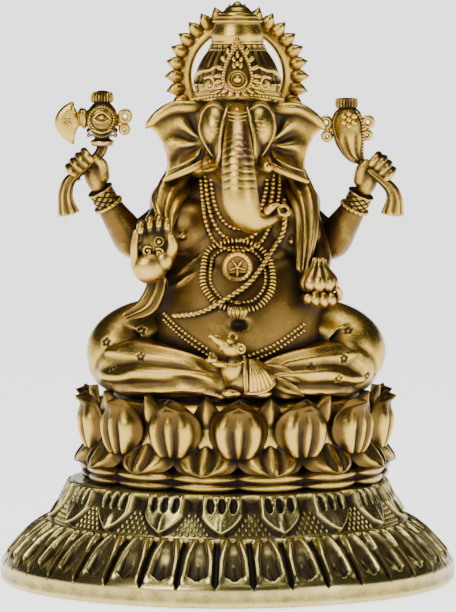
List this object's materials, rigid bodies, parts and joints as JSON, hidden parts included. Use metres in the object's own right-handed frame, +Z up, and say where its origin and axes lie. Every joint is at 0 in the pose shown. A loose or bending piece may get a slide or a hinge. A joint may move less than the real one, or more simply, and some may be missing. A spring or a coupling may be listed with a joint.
{
  "type": "elephant-headed deity statue",
  "caption": "Small antique-brass seated elephant-headed deity with rear arms raised, on a lotus seat and a round turned plinth; stands on a shelf or desk.",
  "frame": {"origin": "middle of the pad's underside, on the plinth's axis, which is the middle of the face that the statue rests on", "axes": "+Z up, -Y towards the figure's front, +X to the right for somebody who looks at the front"},
  "size_m": [0.0784, 0.0784, 0.1],
  "materials": {
    "warm_brass": "antique cast brass, dark in the recesses and rubbed bright on the high points",
    "green_brass": "antique cast brass, greener than the figure, with a turned and brushed rim",
    "steel": "zinc-plated steel",
    "felt": "dense black felt"
  },
  "bodies": {
    "root": {"plinth": "green_brass", "base_pad": "felt", "washer": "steel", "fixing_screw": "steel", "axe": "warm_brass", "axe_handle": "warm_brass", "bead_necklace": "warm_brass", "belt_chain": "warm_brass", "conch": "warm_brass", "conch_ribbon": "warm_brass", "crown_band": "warm_brass", "crown_crest": "warm_brass", "crown_dome": "warm_brass", "crown_finial": "warm_brass", "dhoti_pleats": "warm_brass", "garland": "warm_brass", "halo_ring": "warm_brass", "head": "warm_brass", "left_ear": "warm_brass", "left_front_arm": "warm_brass", "left_front_hand": "warm_brass", "left_leg": "warm_brass", "left_rear_arm": "warm_brass", "left_rear_bracelet": "warm_brass", "left_rear_hand": "warm_brass", "left_shawl": "warm_brass", "left_tusk": "warm_brass", "lotus_inner_petals": "warm_brass", "lotus_lower_petals": "warm_brass", "lotus_seat": "warm_brass", "lotus_upper_petals": "warm_brass", "medallion": "warm_brass", "modak": "warm_brass", "mouse": "warm_brass", "mouse_sweet": "warm_brass", "pendant": "warm_brass", "right_ear": "warm_brass", "right_front_arm": "warm_brass", "right_front_hand": "warm_brass", "right_leg": "warm_brass", "right_rear_arm": "warm_brass", "right_rear_bracelet": "warm_brass", "right_rear_hand": "warm_brass", "right_shawl": "warm_brass", "right_shawl_end": "warm_brass", "right_tusk": "warm_brass", "sacred_thread": "warm_brass", "torso": "warm_brass", "trunk": "warm_brass"}
  },
  "joints": []
}
